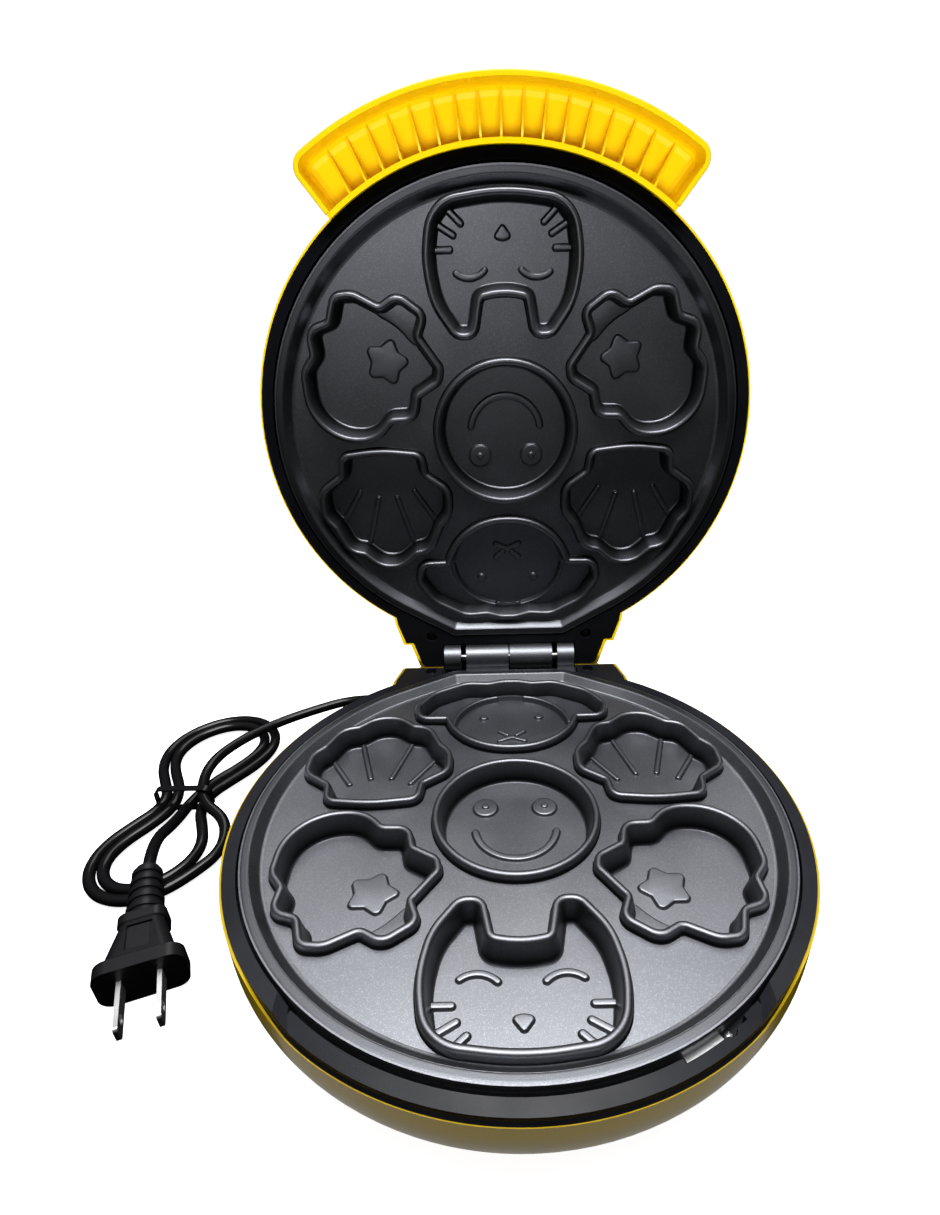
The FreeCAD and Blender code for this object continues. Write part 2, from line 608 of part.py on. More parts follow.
# A path of straight runs with a tangent arc at every corner
def route(points):
    edges = []
    at = points[0]
    for before, corner, after in zip(points, points[1:], points[2:]):
        d1 = (corner - before).normalize()
        d2 = (after - corner).normalize()
        back = 0.45 * min((corner - before).Length, (after - corner).Length)
        turn = acos(max(-1.0, min(1.0, d1.dot(d2))))
        first = corner - d1 * back
        last = corner + d2 * back
        depth = back / tan(turn / 2) * (1 / cos(turn / 2) - 1)
        middle = corner + (d2 - d1).normalize() * depth
        edges += [Part.makeLine(at, first), Part.Arc(first, middle, last).toShape()]
        at = last
    edges.append(Part.makeLine(at, points[-1]))
    return edges


HANK_START = radians(150)
HANK_END = radians(810)
PLUG_WAY = V(0.34, -0.94, -0.06).normalize()
PLUG_FRONT = V(-127.0, -40.6, 9.2)
PLUG_BACK = PLUG_FRONT - PLUG_WAY * 48.0
start_way = hank_way(HANK_START)
lead_end = hank_point(HANK_START)
LEAD = [
    V(-41.0, 108.5, 16.0), V(-74.5, 126.3, 11.2), V(-111.0, 112.5, 8.6), V(-133.5, 92.2, 9.4),
    V(-144.9, 72.4, 8.6), V(-139.3, 48.2, 8.25), V(-125.5, 40.0, 4.9), lead_end - start_way * 16.0, lead_end]
LEAD_WAY = (LEAD[1] - LEAD[0]).normalize()
tail_start = hank_point(HANK_END)
TAIL = [
    tail_start, tail_start + hank_way(HANK_END) * 14.0, PLUG_BACK - PLUG_WAY * 14.0, PLUG_BACK + PLUG_WAY * 7.5]


def least_gap():
    count = 700
    points = [hank_point(HANK_START + (HANK_END - HANK_START) * i / count) for i in range(count + 1)]
    least = 1e9
    for i in range(0, count + 1, 2):
        for j in range(i + 40, count + 1, 2):
            least = min(least, (points[i] - points[j]).Length)
    return least - CORD_D


# Tie round the waist of the hank: four cords side by side and the lead on top
def tie():
    half = 12.0
    low = HANK_Z - CORD_R - 0.1
    high = low + 2 * CORD_D + 0.8
    corners = [(-half, low, 2.3), (half, low, 2.3), (half, high, 2.3), (-half, high, 2.3)]
    band = prism(corners, -1.6, 1.6, TIE_T).cut(prism(corners, -3, 3))
    band.rotate(V(0, 0, 0), X_AXIS, 90)
    band.translate(V(HANK_X - 0.65, HANK_Y, 0))
    return band


# Moulded two-blade plug: ribbed boot, collar, tapering body with a sunk panel, wide flange
PLUG_FLANGE = (29.0, 18.0, 5.0)
BLADE = (1.5, 6.3, 17.5)
BLADE_STEP = 12.7


def slab(width, height, z):
    r = 0.28 * height
    half = [(width / 2, -height / 2, r), (width / 2, height / 2, r)]
    return outline(mirrored(half), 0, z)


def plug_loft(sections):
    return Part.makeLoft([slab(*section) for section in sections], True, True)


def plug_place(shape):
    shape.rotate(V(0, 0, 0), X_AXIS, 90 + degrees(asin(-PLUG_WAY.z)))
    shape.rotate(V(0, 0, 0), Z_AXIS, degrees(atan2(PLUG_WAY.y, PLUG_WAY.x)) + 90)
    shape.translate(PLUG_FRONT)
    return shape


def plug_body():
    width, height, deep = PLUG_FLANGE
    flange = plug_loft([(width, height, 0), (width, height, -deep), (width - 3, height - 2, -deep - 1)])
    body = plug_loft([(24, 16, -deep), (20, 14.5, -12), (15, 12.5, -20.5)])
    collar = plug_loft([(15, 12.5, -20.5), (16.5, 13.5, -21), (16.5, 13.5, -24.5), (15, 12.5, -25)])
    boot = Part.makeCone(6.2, 4.4, 24.0, V(0, 0, -24.5), V(0, 0, -1))
    ribs = [rod(V(0, 0, -29.0 - 4.4 * i), Z_AXIS, 2.2, 6.7 - 0.3 * i) for i in range(5)]
    whole = flange.fuse([body, collar, boot] + ribs)
    panel = box(-4.2, 4.2, 5.4, 12, -19, -8)
    whole = whole.cut(panel).fuse(box(-3.4, 3.4, 4, 6.0, -18.4, -8.6))
    bore = rod(V(0, 0, -60), Z_AXIS, 20, CORD_R + 0.03)
    slots = [box(s * BLADE_STEP / 2 - 0.75, s * BLADE_STEP / 2 + 0.75, -3.15, 3.15, -6, 1) for s in (-1, 1)]
    return plug_place(whole.cut([bore] + slots).removeSplitter())


def plug_blades():
    thick, tall, long = BLADE
    blades = []
    for s in (-1, 1):
        corners = [(-tall / 2, -6, 0.3), (tall / 2, -6, 0.3), (tall / 2, long, 1.4), (-tall / 2, long, 1.4)]
        blade = prism(corners, -thick / 2, thick / 2).cut(rod(V(0, long - 5.5, -3), Z_AXIS, 6, 1.6))
        blade.rotate(V(0, 0, 0), V(1, 1, 1), 120)
        blade.translate(V(s * BLADE_STEP / 2, 0, 0))
        blades.append(blade)
    return plug_place(Part.makeCompound(blades))


# Moulded strain relief where the cord leaves the base
def strain_relief():
    start = LEAD[0] - V(0, 0, PART_Z)
    sleeve = Part.makeCone(4.5, 3.4, 26.5, start - LEAD_WAY * 6, LEAD_WAY)
    collar = rod(start + LEAD_WAY * 4.1, LEAD_WAY, 1.6, 5.6)
    rings = [rod(start + LEAD_WAY * (8.0 + 2.7 * i), LEAD_WAY, 1.4, 4.5 - 0.1 * i) for i in range(5)]
    return sleeve.fuse([collar] + rings).cut(rod(start - LEAD_WAY * 10, LEAD_WAY, 50, CORD_R + 0.03))


casting = plate()
save("base_plate", base(casting))
save("lid_plate", lid(casting))
save("base_housing", base(base_housing()))
save("lid_housing", lid(lid_housing()))
save("base_bezel", base(frame(100.2, True)))
save("lid_bezel", lid(frame(TONGUE_Y, False)))
save("base_heater", base(heater()))
save("lid_heater", lid(heater()))
save("base_reflector", base(reflector()))
save("lid_reflector", lid(reflector()))
save("base_thermostat", base(thermostat()))
save("base_thermal_fuse", base(thermal_fuse()))
save("base_terminal_block", base(terminal_block()))
save("base_plate_clips", base(Part.makeCompound([clip(0), clip(180), tab()])))
save("lid_plate_clips", lid(Part.makeCompound([clip(0), clip(180), clip(-90)])))
tab_screw = pan_screw(*TAB_SCREW, -FRONT_LEDGE, 1.45, 0.9, 4.0)
save("base_clip_screws", base(Part.makeCompound([clip_screw(0), clip_screw(180), tab_screw])))
save("lid_clip_screws", lid(Part.makeCompound([clip_screw(0), clip_screw(180), clip_screw(-90)])))
bezel_screws = Part.makeCompound([pan_screw(x, y, -SCREW_SEAT) for x, y in BEZEL_SCREWS])
save("base_bezel_screws", base(bezel_screws))
save("lid_bezel_screws", lid(bezel_screws))
for name, (x, y) in zip(("front_left", "front_right", "rear_left", "rear_right"), FEET):
    save("foot_" + name, base(foot(x, y)))
save("hinge_pin", base(hinge_pin()))
save("lamp_power", lid(lamp(LAMPS[0])))
save("lamp_ready", lid(lamp(LAMPS[1])))
save("cord_strain_relief", base(strain_relief()))
save("cord_lead", swept(route(LEAD), CORD_R))
save("cord_hank", swept(hank(HANK_START, HANK_END, 44), CORD_R))
save("cord_tail", swept(route(TAIL), CORD_R))
save("cord_tie", tie())
save("plug_body", plug_body())
save("plug_blades", plug_blades())
radii = [round(edge.Curve.Radius, 1) for edge in route(LEAD) + route(TAIL) if hasattr(edge.Curve, "Radius")]
length = sum(edge.Length for edge in route(LEAD) + hank(HANK_START, HANK_END, 44) + route(TAIL))
print("cord length", round(length, 1), "least gap in the hank", round(least_gap(), 2), "bends", radii)
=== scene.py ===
from math import cos, pi, radians, sin, tan

import bpy
import numpy as np
from mathutils import Matrix, Vector


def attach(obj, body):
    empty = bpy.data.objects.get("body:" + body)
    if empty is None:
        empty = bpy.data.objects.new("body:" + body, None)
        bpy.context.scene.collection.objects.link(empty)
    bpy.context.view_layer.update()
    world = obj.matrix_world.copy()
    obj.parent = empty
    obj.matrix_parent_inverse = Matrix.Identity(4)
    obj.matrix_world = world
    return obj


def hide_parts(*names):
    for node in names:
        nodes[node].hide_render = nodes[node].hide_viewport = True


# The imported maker: a base half and a lid half on one hinge, standing open on a table.
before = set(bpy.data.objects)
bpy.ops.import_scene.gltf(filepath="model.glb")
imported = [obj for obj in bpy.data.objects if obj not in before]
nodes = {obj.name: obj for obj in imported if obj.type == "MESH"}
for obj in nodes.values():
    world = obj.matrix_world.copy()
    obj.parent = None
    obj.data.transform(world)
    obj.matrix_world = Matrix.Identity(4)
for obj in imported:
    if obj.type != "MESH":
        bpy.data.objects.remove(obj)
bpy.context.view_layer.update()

# Feet: four rubber pads whose barbed stems are pushed through the floor of the base, dull black with a
# dusty bloom. Rubber, plastic and metal all share one fine grain, which is built here once.
BLOTCH_SCALE = 40.0
FLECK_FROM, FLECK_TO = 0.52, 0.72
GLOSS_FROM, GLOSS_TO = 0.3, 0.7
GRAIN_DEPTH = 0.0005


def add(tree, kind, links=None, **settings):
    """One node: settings are its own properties, links gives each input a socket or a value."""
    node = tree.nodes.new(kind)
    for key, value in settings.items():
        setattr(node, key, value)
    for key, value in (links or {}).items():
        if isinstance(value, bpy.types.NodeSocket):
            tree.links.new(value, node.inputs[key])
        else:
            node.inputs[key].default_value = value
    return node


def mixed(tree, share, low, high):
    """A colour between two, by the share of the second; each is a socket or a value."""
    return add(tree, "ShaderNodeMix", {0: share, 6: low, 7: high}, data_type="RGBA").outputs[2]


def grain_group():
    """Moulded grain: fine noise as a height, its peaks as flecks, and a slow blotch from 0 to 1."""
    group = bpy.data.node_groups.new("moulded grain", "ShaderNodeTree")
    group.interface.new_socket("Vector", in_out="INPUT", socket_type="NodeSocketVector")
    group.interface.new_socket("Fine", in_out="INPUT", socket_type="NodeSocketFloat")
    for socket in ("Height", "Fleck", "Blotch"):
        group.interface.new_socket(socket, in_out="OUTPUT", socket_type="NodeSocketFloat")
    into = group.nodes.new("NodeGroupInput").outputs
    noise = {"Vector": into["Vector"], "Scale": into["Fine"], "Detail": 2.0}
    fine = add(group, "ShaderNodeTexNoise", noise).outputs[0]
    noise = {"Vector": into["Vector"], "Scale": BLOTCH_SCALE, "Detail": 4.0}
    blotch = add(group, "ShaderNodeTexNoise", noise).outputs[0]
    fleck = add(group, "ShaderNodeMapRange", {0: fine, 1: FLECK_FROM, 2: FLECK_TO}).outputs[0]
    add(group, "NodeGroupOutput", {"Height": fine, "Fleck": fleck, "Blotch": blotch})
    return group


grain = grain_group()


def grained(name, dark, light, rough, bump=0.05, fine=2500.0, metallic=0.0, fleck=None, **sockets):
    """A material on Object coordinates: the blotch sets its tone between two colours and its gloss between
    two roughnesses, the grain lifts its normal, and flecks of a third colour may lie on it. Further sockets
    are constants of the shader."""
    material = bpy.data.materials.new(name)
    material.use_nodes = True
    tree = material.node_tree
    place = add(tree, "ShaderNodeTexCoord").outputs["Object"]
    marks = add(tree, "ShaderNodeGroup", {"Vector": place, "Fine": fine}, node_tree=grain).outputs
    tone = mixed(tree, marks["Blotch"], (*dark, 1), (*light, 1))
    if fleck:
        tone = mixed(tree, marks["Fleck"], tone, (*fleck, 1))
    span = {0: marks["Blotch"], 1: GLOSS_FROM, 2: GLOSS_TO, 3: rough[0], 4: rough[1]}
    gloss = add(tree, "ShaderNodeMapRange", span).outputs[0]
    relief = {"Strength": bump, "Distance": GRAIN_DEPTH, "Height": marks["Height"]}
    lift = add(tree, "ShaderNodeBump", relief).outputs[0]
    shader = tree.nodes["Principled BSDF"].inputs
    for socket, value in (("Base Color", tone), ("Roughness", gloss), ("Normal", lift)):
        tree.links.new(value, shader[socket])
    shader["Metallic"].default_value = metallic
    for socket, value in sockets.items():
        shader[socket.replace("_", " ")].default_value = value
    return material


def dress(material, *names):
    """Gives CAD nodes their finish."""
    for name in names:
        nodes[name].data.materials.clear()
        nodes[name].data.materials.append(material)


foot_rubber = grained("foot rubber", (0.012, 0.012, 0.012), (0.03, 0.03, 0.03), (0.6, 0.8), bump=0.2)
dress(foot_rubber, "foot_front_left", "foot_front_right", "foot_rear_left", "foot_rear_right")

# Housings: two thick yellow plastic mouldings, glossy, with a faint orange peel.
# The lid's is moulded in one piece with the fan handle and its row of thin ribs.
yellow = grained(
    "yellow moulding", (0.92, 0.61, 0.001), (1.0, 0.68, 0.004), (0.26, 0.34), bump=0.03, fine=900.0)
dress(yellow, "base_housing", "lid_housing")

# Bezels: black heat-resistant mouldings that centre each plate in its housing, held by two screws beside the
# hinge. The base's also has two thin edges, with sections in millimetres: a fillet down its outer wall where
# the housing's front rim is lowered, whose black also covers the inner part of that rim's top as painted
# shade, and a web that closes the back of the hinge pocket below the pin.
bezel_black = grained(
    "black bezel", (0.004, 0.004, 0.006), (0.012, 0.013, 0.017), (0.32, 0.48), bump=0.08,
    Specular_IOR_Level=0.15)
dress(bezel_black, "base_bezel", "lid_bezel")
MM = 0.001
MEETING_Z = 0.044
BEZEL_R = 101.4
LIP_HALF_TURN = 50.5
LIP_RAMP = (64.8, 79.8)
LIP_DROP = (-6.8, -1.5)
LIP_FADE = (60.0, 76.0)
LIP = np.array([
    (-0.2, 1.5), (0.02, 1.35), (0.2, 0.85), (0.45, 0.32), (0.58, 0.12), (0.6, 0.03), (0.5, -0.03),
    (-0.2, -0.03)])
WEB_HALF = 32.0
WEB = np.array([
    (115.5, 33.5), (115.5, 39.3), (115.7, 39.6), (115.95, 39.7), (116.2, 39.6), (116.4, 39.3),
    (116.4, 33.5)])


def carried(count, around):
    """Faces of a closed section of count points, carried through around places and capped at both ends."""
    i, j = np.meshgrid(np.arange(count), np.arange(around - 1), indexing="ij")
    low, high = i * around + j, (i + 1) % count * around + j
    ends = np.arange(count) * around
    faces = np.stack([low, low + 1, high + 1, high], 2).reshape(-1, 4).tolist()
    return faces + [ends.tolist(), (ends[::-1] + around - 1).tolist()]


def front_lip(around=121):
    """The fillet's section carried round the front on the bezel's outer wall: it climbs the sloping ends of
    the lowered rim, and thins out to a tenth towards both ends. Its black also covers the inner part of the
    housing's rim top there, as painted shade."""
    turn = np.radians(np.linspace(-90 - LIP_HALF_TURN, -90 + LIP_HALF_TURN, around))
    side = np.abs(BEZEL_R * np.cos(turn))
    full = np.interp(side, LIP_FADE, [1.0, 0.1])
    far = BEZEL_R + LIP[:, :1] * full
    up = MEETING_Z / MM + np.interp(side, LIP_RAMP, LIP_DROP) + LIP[:, 1:] * full
    verts = np.stack([far * np.cos(turn), far * np.sin(turn), up], 2)
    return verts.reshape(-1, 3) * MM, carried(len(LIP), around)


def hinge_web():
    """The web's round-topped section carried straight across the pocket."""
    across = np.broadcast_to([[-WEB_HALF], [WEB_HALF]], (len(WEB), 2, 1))
    verts = np.concatenate([across, np.repeat(WEB[:, None], 2, 1)], 2)
    return verts.reshape(-1, 3) * MM, carried(len(WEB), 2)


for name, (verts, faces) in (("base_bezel_lip", front_lip()), ("base_hinge_web", hinge_web())):
    mesh = bpy.data.meshes.new(name)
    mesh.from_pydata(verts, [], faces)
    mesh.shade_smooth()
    mesh.materials.append(bezel_black)
    trim = bpy.data.objects.new(name, mesh)
    bpy.context.scene.collection.objects.link(trim)
    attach(trim, "base")

# Heaters, reflectors, thermostat, fuse and terminal block: the working parts, closed in below the plates.
# Each heater is a ring of steel tube against the underside of its plate, over a dish of bright sheet whose
# edge lies under the bezel; the terminals are in a white plastic block inside the base.
heat_steel = grained("heater steel", (0.16, 0.15, 0.14), (0.3, 0.28, 0.25), (0.35, 0.5), metallic=1.0)
dress(heat_steel, "base_heater", "lid_heater")
bright_sheet = grained("bright sheet", (0.55, 0.55, 0.56), (0.7, 0.7, 0.71), (0.22, 0.35), metallic=1.0)
dress(bright_sheet, "base_reflector", "lid_reflector", "base_thermostat", "base_thermal_fuse")
white_block = grained("terminal plastic", (0.6, 0.6, 0.56), (0.7, 0.7, 0.66), (0.4, 0.5))
dress(white_block, "base_terminal_block")

# Cooking plates: one aluminium casting used twice, coated with dark graphite non-stick. The solids give the
# field, the floors and the knuckles; a cast skin on each plate rounds its rim, the beads of the seven figures
# and their details. All of it is drawn in millimetres, an outline as corners (x, y, radius) along a bead.
coating = grained(
    "graphite coating", (0.13, 0.134, 0.147), (0.17, 0.175, 0.192), (0.38, 0.44), bump=0.05, fine=2600.0,
    metallic=1.0, fleck=(0.22, 0.226, 0.248))
coat_tree = coating.node_tree
coat_colour = coat_tree.nodes["Principled BSDF"].inputs["Base Color"]
# Painted light on the plates' skins: the crest tone is painted on the bead crests to set how bright their
# highlight shows, and the wall tone is painted shade, near black, on the bead and cavity walls and, at half
# strength, on the rim's top
for zone, colour in (("crest", (0.14, 0.143, 0.157, 1)), ("wall", (0.014, 0.0144, 0.016, 1))):
    share = add(coat_tree, "ShaderNodeAttribute", attribute_name=zone).outputs["Fac"]
    tone = mixed(coat_tree, share, coat_colour.links[0].from_socket, colour)
    coat_tree.links.new(tone, coat_colour)
dress(coating, "base_plate", "lid_plate")
HINGE_Y = 0.1083
PLATE_R = 96.0
BACK_FLAT = 26.5
RIM_BELOW = 0.25
FLOOR = -9.4
SHELL_X = -53.5
EYE_X, EYE_Y = 11.2, 11.0


def mirrored(half):
    """A half outline with its mirror image across x = 0."""
    return half + [(-x, y, r) for x, y, r in half[::-1] if abs(x) > 1e-9]


def flipped(corners):
    """The same outline on the other side of x = 0."""
    return [(-x, y, r) for x, y, r in corners]


face = [(29, 29, 29), (-29, 29, 29), (-29, -29, 29), (29, -29, 29)]
cat = mirrored([
    (0, -54.8, 30), (9.3, -52.6, 3), (11.9, -38.7, 4), (19, -38.7, 5), (27, -50.3, 25), (29.7, -65.5, 40),
    (26.3, -84.6, 13), (0, -88.2, 80)])
cub = [
    (-81.5, 1.2, 19.4), (-81.5, -26.2, 7), (-76.7, -32.2, 3.5), (-77.4, -41.8, 5), (-69, -44.5, 3.5),
    (-66, -53.9, 4), (-58.8, -54.6, 8), (-48.7, -49.3, 3.5), (-41.5, -53.7, 5), (-31.6, -46.5, 4),
    (-34.6, -38.6, 2.5), (-26.4, -26.6, 3.5), (-27.2, -21.6, 4), (-36.2, -16.2, 3), (-38.2, -6.9, 5),
    (-47.8, -6.6, 4), (-54.8, 1.2, 14)]
shell = [(SHELL_X + x, y, r) for x, y, r in mirrored([
    (4.8, 59.5, 11.5), (11.9, 53.1, 3), (18.5, 51.7, 8), (23.5, 40.2, 3), (27.8, 35.2, 9), (27.9, 24, 7),
    (18, 16.9, 3), (16.9, 8.2, 4.2), (0, 6.3, 60)])]
dog = mirrored([
    (3.5, 87, 12), (10, 85.1, 4), (20.3, 85.9, 12), (35, 78, 14), (41.6, 67.5, 5), (39.8, 58.9, 5),
    (27.6, 58.7, 1.6), (21, 38, 27)])


def ring(corners, steps=12):
    """Points and outward normals round an outline: at each corner the normal turns from that of the line
    before to that of the line after, about the centre of the corner's arc; a point that repeats the one
    before is left out."""
    at = np.array(corners, float)
    x, y = at[:, 0], at[:, 1]
    if (x * np.roll(y, -1) - np.roll(x, -1) * y).sum() < 0:
        at = at[::-1]
    after = np.roll(at[:, :2], -1, 0) - at[:, :2]
    after /= np.linalg.norm(after, axis=1)[:, None]
    before = np.roll(after, 1, 0)
    sine = before[:, 0] * after[:, 1] - before[:, 1] * after[:, 0]
    turn = np.arctan2(sine, (before * after).sum(1))
    radius = at[:, 2] * np.sign(turn)
    first = np.stack([before[:, 1], -before[:, 0]], 1)
    reach = np.abs(radius * np.tan(turn / 2))
    centre = at[:, :2] - before * reach[:, None] - first * radius[:, None]
    angle = turn[:, None] * np.linspace(0, 1, steps + 1)
    normal = np.stack([
        first[:, :1] * np.cos(angle) - first[:, 1:] * np.sin(angle),
        first[:, :1] * np.sin(angle) + first[:, 1:] * np.cos(angle)], 2)
    point = centre[:, None] + normal * radius[:, None, None]
    both = np.concatenate([point, normal], 2).reshape(-1, 4)
    both = both[np.abs(both - np.roll(both, 1, 0)).max(1) > 1e-6]
    return both[:, :2], both[:, 2:]


def arc_stroke(start, middle, end, width, steps=24):
    """Points and normals round a stroke of even width along the arc through three points: out along one
    side, round the end, back along the other side and round the start."""
    a, b, c = (complex(*p) for p in (start, middle, end))
    w = (c - a) / (b - a)
    centre = (b - a) * (w - abs(w) ** 2) / (2j * w.imag) + a
    radius = abs(a - centre)
    sweep = np.angle((b - centre) / (a - centre)) + np.angle((c - centre) / (b - centre))
    side = np.sign(sweep)
    way = (a - centre) / radius * np.exp(1j * sweep * np.linspace(0, 1, steps))
    cap = np.exp(1j * side * pi * np.linspace(0, 1, 10)[1:-1])
    normal = np.concatenate([way, way[-1] * cap, -way[::-1], -way[0] * cap])
    spine = np.concatenate([way, np.full(8, way[-1]), way[::-1], np.full(8, way[0])]) * radius + centre
    point = spine + normal * width / 2
    order = slice(None) if side > 0 else slice(None, None, -1)
    return np.stack([point.real, point.imag], 1)[order], np.stack([normal.real, normal.imag], 1)[order]


def bar(x0, y0, x1, y1, width):
    """A straight stroke with round ends: a rectangle whose corners are rounded by half its width."""
    along = np.array((x1 - x0, y1 - y0)) / np.hypot(x1 - x0, y1 - y0) * width / 2
    aside = np.array((-along[1], along[0]))
    low, high = np.array((x0, y0)) - along, np.array((x1, y1)) + along
    return ring([(*p, width / 2) for p in (low - aside, high - aside, high + aside, low + aside)], 6)


def disc(x, y, radius):
    """A round boss: a square whose corners are rounded by half its width."""
    square = ((-1, -1), (1, -1), (1, 1), (-1, 1))
    return ring([(x + radius * u, y + radius * v, radius) for u, v in square], 8)


def star(x, y, tip, waist):
    """A plump star: ten rounded corners, far and near by turns, with one point towards the plate's middle."""
    turn = np.radians(36 * np.arange(10))
    near = np.arange(10) % 2
    far = np.where(near, waist, tip)
    corners = [x - np.sign(x) * far * np.cos(turn), y + far * np.sin(turn), np.where(near, 1.0, 1.6)]
    return ring(np.stack(corners, 1), 6)


def rim_ring(radius):
    """The plate's rim: a circle with a straight back edge between two tangents."""
    flat = BACK_FLAT * radius / PLATE_R
    knee = radius * tan(pi / 4 - np.arctan2(flat, radius))
    return ring(mirrored([(radius, -radius, radius), (radius, knee, radius), (flat, radius, 3)]), 40)[0]


def swept(rows, heights, closed):
    """Vertices and faces of a band whose rows are rings of equal count at the given heights; the last row
    joins the first where it is closed, and otherwise both end rows are capped."""
    rows = np.asarray(rows)
    count, around = rows.shape[:2]
    up = np.broadcast_to(np.reshape(heights, (-1, 1, 1)), (count, around, 1))
    verts = np.concatenate([rows, up], 2).reshape(-1, 3)
    i, j = np.meshgrid(np.arange(count if closed else count - 1), np.arange(around), indexing="ij")
    here, above, k = i * around, (i + 1) % count * around, (j + 1) % around
    faces = np.stack([here + j, here + k, above + k, above + j], 2).reshape(-1, 4).tolist()
    if not closed:
        faces += [np.arange(around)[::-1].tolist(), (np.arange(around) + (count - 1) * around).tolist()]
    return verts, faces


def moved(outline, offsets):
    """An outline drawn once for each offset along its normals."""
    return outline[0] + np.reshape(offsets, (-1, 1, 1)) * outline[1]


# Sections: (outward, up) over a bead and down to its floor, over a raised detail, and over the rim
BEAD = np.array([
    (2.1, -3.74), (1.85, -3.6), (1.66, -3.5), (1.54, -3.3), (1.47, -2.9), (1.42, -2.2), (1.36, -1.4),
    (1.28, -0.85), (1.12, -0.45), (0.84, -0.15), (0.5, 0.02), (0.0, 0.1), (-0.5, 0.02), (-0.88, -0.18),
    (-1.14, -0.48), (-1.3, -0.85), (-1.4, -1.33), (-2.69, -7.52), (-2.79, -8.0), (-2.88, -8.6),
    (-3.0, -9.05), (-3.25, -9.3), (-3.6, -9.46), (-3.2, -10.3), (-0.4, -9.0), (0.6, -5.0)])
DETAIL = np.array([
    (0.75, -0.05), (0.45, 0.12), (0.3, 0.4), (0.22, 0.7), (0.12, 0.9), (-0.1, 1.02), (-0.5, 1.06)])
RIM = np.array([
    (0.12, -3.2), (0.12, -0.9), (0.02, -0.45), (-0.25, -0.12), (-0.7, 0.05), (-1.2, 0.07), (-1.5, 0.07),
    (-2.4, 0.07), (-2.7, 0.07), (-3.1, 0.02), (-3.45, -0.2), (-3.65, -0.44), (-5.7, -2.9), (-5.9, -3.14),
    (-6.1, -3.34), (-6.35, -3.46), (-6.8, -3.53), (-7.2, -3.57), (-7.7, -3.68), (-7.0, -5.0), (-1.0, -4.6)])
PUPIL_UP, PUPIL_TALL = 0.95, 0.7
HEAD_TALL, PAW_TALL = 2.5, 1.52
# Share of the painted wall shade that is laid on the rim's top
RIM_SHADE = 0.5


def raised(outline, up=0.0, tall=1.0):
    """A raised detail: its section goes round an outline, up above the floor and tall times as high."""
    return swept(moved(outline, DETAIL[:, 0]), FLOOR + up + tall * DETAIL[:, 1], False)


figures = [ring(corners) for corners in (cat, cub, flipped(cub), shell, flipped(shell), dog)]
figures.append(ring(face, 36))
bands = [swept(moved(figure, BEAD[:, 0]), BEAD[:, 1], True) for figure in figures]
bands.append(swept([rim_ring(PLATE_R + off) for off in RIM[:, 0]], RIM[:, 1], True))
# The face's mouth and the cat's nose, then on each side: eyes and star, the cat's shut eye and whiskers,
# the dog's mouth, and the ribs of a shell
strokes = [
    arc_stroke((-14.8, -1.6), (0, -14.3), (14.8, -1.6), 2.0),
    ring([(3.4, -72.6, 1), (0, -77, 0.8), (-3.4, -72.6, 1), (0, -71.8, 3)], 6)]
for s in (-1, 1):
    strokes += [disc(EYE_X * s, EYE_Y, 4.4), disc(12.4 * s, 69.6, 1.5), star(48.6 * s, -28.6, 9.6, 5.9)]
    strokes += [arc_stroke((18.4 * s, -60.6), (13.0 * s, -58.9), (7.2 * s, -61.5), 1.6)]
    strokes += [bar(20.4 * s, -68.8, 28.0 * s, -68.8, 1.7), bar(18.9 * s, -73.7, 25.0 * s, -77.4, 1.7)]
    strokes += [bar(15.9 * s, -77.6, 20.5 * s, -82.0, 1.7)]
    strokes += [bar(0, 54.9, 5.4 * s, 52.5, 1.4), bar(5.2 * s, 59.0, 2.1 * s, 56.5, 1.4)]
    for side in (-1, 1):
        x = SHELL_X * s
        strokes += [bar(x + 4.2 * side, 29.4, x + 11.0 * side, 53.0, 1.3)]
        strokes += [bar(x + 12.2 * side, 26.2, x + 22.2 * side, 42.0, 1.3)]
bands += [raised(stroke) for stroke in strokes]
bands += [raised(disc(x, EYE_Y, 1.0), PUPIL_UP, PUPIL_TALL) for x in (-EYE_X, EYE_X)]
# Steps in the floors: the edge between the dog's head and its ears, and the cub's paw
for s in (-1, 1):
    head_edge = arc_stroke((25.7 * s, 63.0), (19.8 * s, 76.2), (6.6 * s, 83.5), 1.6)
    paw = arc_stroke((45.9 * s, -50.9), (39.1 * s, -46.5), (33.6 * s, -40.6), 12.0)
    bands += [raised(head_edge, tall=HEAD_TALL), raised(paw, tall=PAW_TALL)]
starts = np.cumsum([0] + [len(verts) for verts, faces in bands])
band = np.repeat(np.arange(len(bands)), np.diff(starts))
skin_verts = np.concatenate([verts for verts, faces in bands])
skin_faces = [[v + start for v in f] for start, (verts, faces) in zip(starts.tolist(), bands) for f in faces]
x, y, z = skin_verts.T
